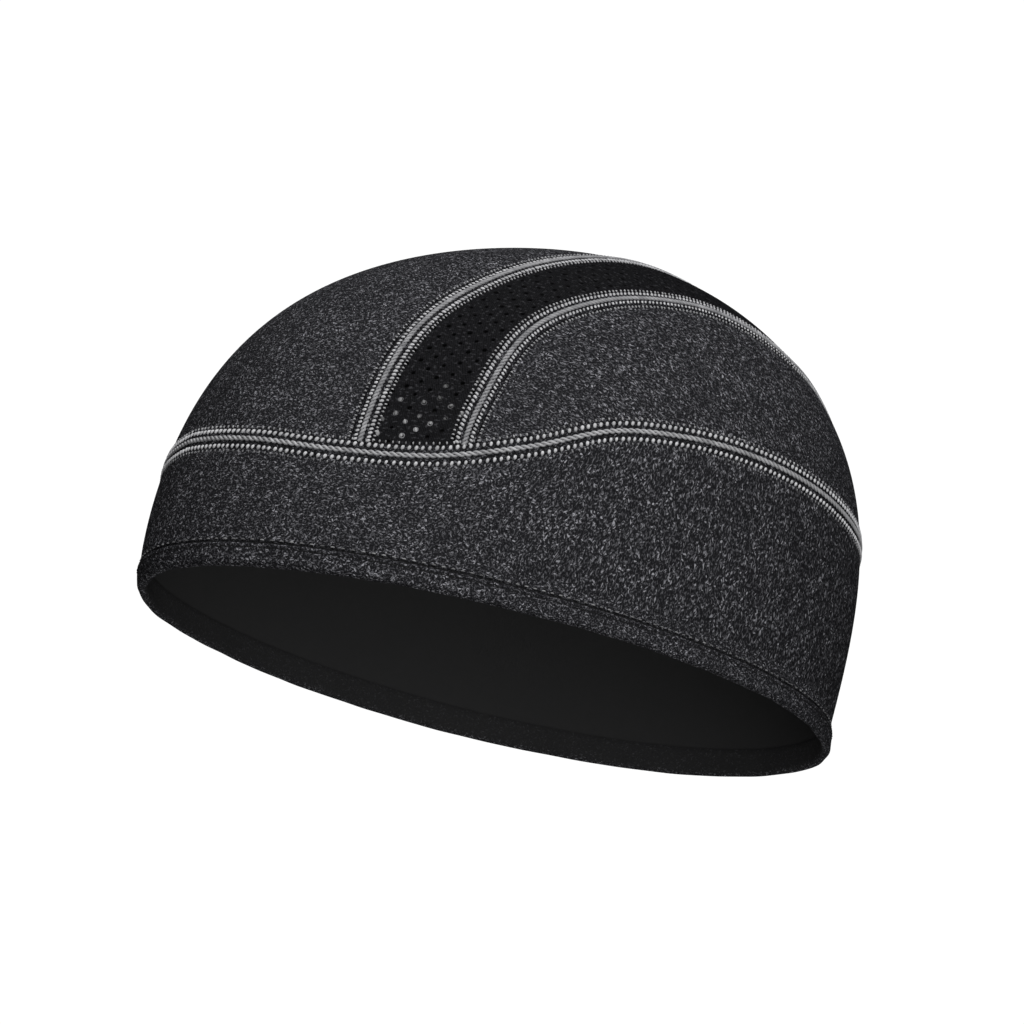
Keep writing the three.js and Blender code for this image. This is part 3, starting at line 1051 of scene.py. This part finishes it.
def makeStrip(side, hand):
    # cells in u and v, laid over the crown between the two seams
    n, m = strip["across"], strip["along"]

    def lineX(over, u):
        low, high = innerX(over) + cloth["gap"] / 2, outerX(over) - cloth["gap"] / 2
        return hand * (low + (high - low) * (u if hand > 0 else 1 - u))

    knots = np.linspace(0, 1, 2 * n + 1)
    front, back = feetOf(lambda over: lineX(over, knots), cloth["gap"] / 2, knots)

    def place(u, v):
        # the feet of the lines between two knots are read off between theirs
        over = np.interp(u, knots, front) * (1 - v) + np.interp(u, knots, back) * v
        return crownPoint(over, lineX(over, u))

    corner = pairs(np.arange(n), np.arange(m))
    i, j = corner.T
    pierced = (i + j) % 2 == (1 if hand > 0 else 0)

    def span(du, dv):
        # the width or the height of the pierced cells, through their middles
        ends = [place((i + 0.5 + s * du) / n, (j + 0.5 + s * dv) / m) for s in (0.5, -0.5)]
        return np.linalg.norm(ends[0] - ends[1], axis=-1)[pierced]

    middle = place((i + 0.5) / n, (j + 0.5) / m)[pierced]
    mean, spread, least, most = strip["uneven"]
    size = rng.normal(mean, spread, (len(middle), 1, 1)).clip(least, most)
    # painted light seen through the holes near the foot, in front only
    glow = paintedHoleLight(middle)
    tacks = makeLightFillings(side, middle, glow)
    holed, holedFaces = piercedCells(corner[pierced], np.stack([span(1, 0), span(0, 1)], -1), size, glow)
    plain, plainFaces = plainCells(corner[~pierced])

    # points that cells share are made one, sorted by u, v and height
    every = np.concatenate([holed, plain])
    nearCell, nearHeight = strip["same"]
    key = np.round(every[:, :3] * [n * nearCell, m * nearCell, nearHeight]).astype(np.int64)
    _, first, same = np.unique(key, axis=0, return_index=True, return_inverse=True)
    every = every[first]
    faces = same.ravel()[np.concatenate([holedFaces, plainFaces + len(holed)])]
    faces = np.concatenate([faces, edgeWall(faces, every[:, 2] > -cloth["mesh"] / 2)])
    outer = place(every[:, 0], every[:, 1])
    points = outer + outward(outer) * every[:, 2:3]
    chart = every[:, :2] * strip["chart"]
    marks = {"wall": every[:, 3], "pale": every[:, 4]}
    node = "mesh_strip_" + side
    piece = makePiece(node + "_cloth", node, points, [faces], meshFinish, chart[faces], marks, "mesh")
    stretched(piece, "strip", [tacks])


def paintedHoleLight(middle):
    # painted light seen through each hole, given as the paleness of its filling and its wall: fades upwards from the
    # strip's foot in front, none behind
    height = middle[:, 2] - bandTop(np.degrees(np.arctan2(middle[:, 0], -middle[:, 1])))
    shown = (middle[:, 1] < 0) * (height > strip["clear"])
    fade = np.clip(strip["atFoot"] - height / strip["paleHeight"], 0, 1) * shown
    drawn = rng.uniform(*strip["pale"], len(middle))
    glow = fade * drawn * (rng.uniform(0, 1, len(middle)) < strip["filled"])
    return glow * (glow > strip["faintest"])


def edgeWall(faces, isOuter):
    # the wall round the strip's edge, under the seams, joins each open edge of the outer face to the
    # one under it; points are sorted, so the one under an outer point is the one before it
    edges = np.stack([faces, np.roll(faces, -1, 1)], -1).reshape(-1, 2)
    code = edges.min(1).astype(np.int64) * (faces.max() + 1) + edges.max(1)
    _, index, count = np.unique(code, return_index=True, return_counts=True)
    free = edges[index[count == 1]]
    a, b = free[isOuter[free[:, 0]] & isOuter[free[:, 1]]].T
    return np.stack([b, a, a - 1, b - 1], -1)


for side, hand in hands.items():
    makeStrip(side, hand)
print("perforated strips made")


# Flatlock seams: a low ridge, a twisted stripe down its middle, a row of short stitches on each side
# of it and a row of small loops outside those. Distances run along, across and up from the seam's line.
seam = {
    "halfWidth": 2.75,
    "crest": 0.26,
    "crease": (0.10, 0.36, 0.07),  # on both sides of the stripe: depth, place and width
    "innerHalfWidth": 2.4,
    "innerCrest": 0.45,
    "ridgePoints": 15,
    "roundness": 0.6,  # power of the ridge's outline: under 1 is fuller than a parabola
    "sunk": 0.03,  # mm that the ridges' feet lie in the cloth
    "floor": (0.2, 0.25),  # mm that the closing floors lie in it, outside and inside
    "floorWidth": 0.5,  # share of the ridge's
    "shade": 0.5,  # how far painted shade darkens the ridges, for the shade in the gaps between the threads
    "step": 1.1,  # mm along a ridge
    "linePoints": 3001,
    "stripe": 0.40,  # mm that the stripe's two strands swing to each side
    "strand": 0.33,  # mm, their radius
    "strandSides": 6,
    "stripeUp": 0.24,
    "stripeLift": 0.12,  # mm that one strand rises over the other
    "twistPoints": 14,
    "uneven": 0.1,
    "footClear": 2.0,  # mm from the band's seam to the strips' seams
    "threadClear": 0.3,  # and from their ends to their threads
    "near": 0.1,  # mm along a line, to find its direction
}
# rows of stitches and of loops: across, radius, half length across, paleness
bandStitch = {
    "pitch": 1.72,
    "twist": 3.44,
    "glow": 0.31,  # the stripe's paleness
    "relief": 0.34,  # light and shade of its twist
    "rows": ((2.0, 0.43, 0.54, 0.78), (-2.15, 0.41, 0.5, 0.86)),
    "loops": ((3.3, 0.23, 0.32, 0.34), (-3.4, 0.18, 0.28, 0.15)),
}
stripStitch = {
    "pitch": 1.16,
    "twist": 2.32,
    "glow": 0.1,
    "relief": 0.26,
    "rows": ((1.9, 0.36, 0.54, 0.7), (-1.4, 0.33, 0.48, 0.78)),
    "loops": ((3.25, 0.22, 0.32, 0.58), (-3.1, 0.2, 0.3, 0.5)),
}
# threads that lie across the seam; loops stand half a pitch further on than the stitches
thread = {
    "rows": {"taper": (0.45, 0.93, 1.0, 0.93, 0.45), "sides": 8, "slant": 0.5, "shift": 0.0,
             "rise": -0.24, "swell": 1.0, "arch": 0.34, "stray": 0.06, "uneven": 0.14},
    "loops": {"taper": (0.7, 1.0, 1.0, 0.6), "sides": 5, "slant": 0.0, "shift": 0.5,
              "rise": 0.16, "swell": 0.0, "arch": 0.2, "stray": 0.08, "uneven": 0.12},
}
# mm that each seam's threads and ridge lie beside the line where the panels meet
seamShift = {"band": -0.3, "inner": 0.8, "outer": -0.55}


def seamLine(pointAt, start, end, shift, closed=False):
    # a line's points by the distance walked along it
    t = np.linspace(start, end, seam["linePoints"])
    runs = walked(pointAt(t))
    length = runs[-1]

    def at(run):
        return pointAt(np.interp(run % length if closed else run, runs, t))

    return {"at": at, "length": length, "closed": closed, "shift": shift}


def onSeam(line, run, across, up):
    # the point a distance along the line, moved sideways over the dome and up along its normal
    run, across, up = np.broadcast_arrays(run, across, up)
    base = line["at"](run)
    forward = line["at"](run + seam["near"]) - line["at"](run - seam["near"])
    side = unit(np.cross(outward(base), forward))
    foot = settle(base + side * (across + line["shift"])[..., None])
    normal = outward(foot)
    return foot + normal * up[..., None], normal


def ridgeProfiles():
    # crest * (1 - s^2)^roundness less the two creases, closed by a flat floor inside the cloth; the flatter
    # ridge that the same stitches leave on the inner face runs the other way
    s = np.linspace(-1, 1, seam["ridgePoints"])
    swell = (1 - s ** 2) ** seam["roundness"]
    depth, place, width = seam["crease"]
    outerUp = seam["crest"] * swell - depth * bell(np.abs(s) - place, width) - seam["sunk"]
    innerUp = -cloth["jersey"] - seam["innerCrest"] * swell + seam["sunk"]
    outerFloor, innerFloor = seam["floor"]
    for across, up, floor in (
        (s * seam["halfWidth"], outerUp, -outerFloor),
        (s[::-1] * seam["innerHalfWidth"], innerUp[::-1], -cloth["jersey"] + innerFloor),
    ):
        yield np.r_[across, across[[-1, 0]] * seam["floorWidth"]], np.r_[up, floor, floor]


def makeRidge(name, line, node):
    # both profiles carried along the line, in one piece
    steps = int(line["length"] / seam["step"])
    run = np.linspace(0, line["length"], steps + 1)
    points, faces, ends, charts, start = [], [], [], [], 0
    for across, up in ridgeProfiles():
        body, _ = onSeam(line, (run[:-1] if line["closed"] else run)[:, None], across[None], up[None])
        size = body.shape[1]
        quads, apart = cells(steps, size, ringU=line["closed"], ringV=True)
        faces.append(quads + start)
        charts.append(pairs(run, np.r_[across, across[0]])[apart].reshape(-1, 2))
        ends.append(np.stack([np.arange(size), np.arange(size)[::-1] + steps * size]) + start)
        points.append(body.reshape(-1, 3))
        start += body.shape[0] * size
    faces = [np.concatenate(faces)]
    if not line["closed"]:
        faces.append(np.concatenate(ends))
        charts.append(np.zeros((faces[1].size, 2)))
    # the ridge is darkened with painted shade, standing for the shade in the gaps between the seam's threads
    marks = {"dark": np.full(start, seam["shade"])}
    return makePiece(name, node, np.concatenate(points), faces, jerseyFinish,
                     np.concatenate(charts), marks, "jersey")


def stripeThreads(line, start, end, stitch):
    # two strands twisted round each other, flattened onto the ridge: across by the twist's cosine and up by its sine;
    # the sine also paints the twist's light and shade into the paleness
    turns = int(round((end - start) / stitch["twist"]))
    along = np.linspace(start, end, turns * seam["twistPoints"] + 1)
    turn = (along - start) / (end - start) * turns * 2 * math.pi
    turn = turn + np.array([0, math.pi])[:, None]
    across = seam["stripe"] * np.cos(turn)
    up = seam["stripeUp"] + seam["stripeLift"] * np.sin(turn)
    points, normals = onSeam(line, along[None], across, up)
    draws = rng.normal(0, seam["uneven"], turns * 2)
    uneven = np.interp(along, np.linspace(start, end, turns * 2), draws)
    glow = stitch["glow"] + stitch["relief"] * np.sin(turn) + uneven
    return points, normals, seam["strand"] + 0 * across, seam["strandSides"], glow


def crossThreads(line, run, row, kind, hand):
    # short threads across the seam; reach goes from -1 to 1 along each one, which rises to an arch
    # of -arch * reach^2 and tapers towards its ends
    middle, thick, half, pale = row
    taper = np.array(kind["taper"])
    reach = np.linspace(-1, 1, len(taper))[None]
    stray = rng.normal(0, kind["stray"], (len(run), 1))
    points, normals = onSeam(line, run[:, None] + stray + kind["slant"] * reach * half,
                             hand * (middle + reach * half),
                             kind["rise"] + kind["swell"] * thick - kind["arch"] * reach ** 2)
    radius = thick * taper * (1 + stray)
    glow = pale + rng.normal(0, kind["uneven"], (len(run), 1))
    return points, normals, radius, kind["sides"], np.broadcast_to(glow, radius.shape)


def makeStitches(name, line, node, stitch, clear=0.0, hand=1):
    # the stripe, then rows of threads at an even pitch; hand turns the rows over, so that their
    # first side faces the mesh
    start, end = clear, line["length"] - clear
    count = int(round((end - start) / stitch["pitch"]))
    pitch = (end - start) / count
    run = start + (np.arange(count) + 0.5) * pitch
    parts = [stripeThreads(line, start, end, stitch)]
    for which, kind in thread.items():
        for row in stitch[which]:
            parts.append(crossThreads(line, run + kind["shift"] * pitch, row, kind, hand))
    every, faces, glows, begin = [], [], [], 0
    for points, normals, radius, sides, glow in parts:
        body = ring(points, normals, radius, sides)
        faces += threadFaces(points.shape[0], points.shape[1], sides, begin)
        every.append(body.reshape(-1, 3))
        glows.append(np.repeat(glow.ravel(), sides))
        begin += body.size // 3
    marks = {"pale": np.concatenate(glows).clip(0, 1)}
    return makePiece(name, node, np.concatenate(every), faces, yarnFinish, None, marks, "seam_thread")


def makeSeams():
    # the band's seam goes all round; the strips' seams end on it in front and behind
    line = seamLine(lambda around: ringPoint(around, bandTop(around)), -180, 180, seamShift["band"],
                    closed=True)
    makeRidge("seam_band_ridge", line, "seam_band")
    makeStitches("seam_band_thread", line, "seam_band", bandStitch)
    for side, hand in hands.items():
        for which, edgeX in (("inner", innerX), ("outer", outerX)):
            feet = feetOf(lambda over: hand * edgeX(over), seam["footClear"], np.zeros(1))
            towardsMesh = hand if which == "outer" else -hand
            line = seamLine(lambda over: crownPoint(over, hand * edgeX(over)), *np.concatenate(feet),
                            towardsMesh * seamShift[which])
            node = "seam_" + which + "_" + side
            makeRidge(node + "_ridge", line, node)
            makeStitches(node + "_thread", line, node, stripStitch, seam["threadClear"], towardsMesh)


makeSeams()
print("seams made")


# Studio: pale floor below, soft lights, white all round
studio = {
    "floor": -0.42,
    "floorReach": 4.0,
    "ambient": 0.03,  # light from all round
    "backdrop": 1.05,  # what the camera sees all round
    "lights": {
        "key": {"at": (0.61, -0.20, 0.46), "size": 0.5, "watts": 3.9},
        "camera": {"at": (1.08, -0.54, -0.30), "size": 0.5, "watts": 3.1},
        "top": {"at": (0.28, -0.12, 0.80), "size": 0.6, "watts": 1.2},
    },
}


def makeFloor():
    # one flat square
    mesh = bpy.data.meshes.new("floor")
    reach, z = studio["floorReach"], studio["floor"]
    corners = [(-reach, -reach, z), (reach, -reach, z), (reach, reach, z), (-reach, reach, z)]
    mesh.from_pydata(corners, [], [(0, 1, 2, 3)])
    floor = put("floor", mesh)
    look = Look("floor", {"Base Color": (0.8, 0.8, 0.79, 1), "Roughness": 0.8})
    mesh.materials.append(look.material)
    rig.stage(floor)


def makeLights():
    # soft square lamps that face the cap, and a world that is brighter to the camera than to the cap
    for name, light in studio["lights"].items():
        data = bpy.data.lights.new(name, "AREA")
        data.size, data.energy = light["size"], light["watts"]
        lamp = put(name, data)
        lamp.location = light["at"]
        lamp.rotation_euler = (Vector(shot["aim"]) - lamp.location).to_track_quat("-Z", "Y").to_euler()
    world = bpy.data.worlds.new("studio")
    bpy.context.scene.world = world
    world.use_nodes = True
    nodes, links = world.node_tree.nodes, world.node_tree.links
    background = nodes["Background"]
    background.inputs["Color"].default_value = (1, 1, 1, 1)
    ray = nodes.new("ShaderNodeLightPath")
    choose = nodes.new("ShaderNodeMix")
    choose.inputs[2].default_value = studio["ambient"]
    choose.inputs[3].default_value = studio["backdrop"]
    links.new(ray.outputs["Is Camera Ray"], choose.inputs[0])
    links.new(choose.outputs[0], background.inputs["Strength"])


makeFloor()
makeLights()
bpy.context.scene.view_settings.view_transform = "Standard"
bpy.context.scene.view_settings.look = "None"
print("studio made")

with open("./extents.json", "w") as sizeFile:
    json.dump({"cad": [list(corner) for corner in cadBox],
               "visual": [list(corner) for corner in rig.bounds()]}, sizeFile)
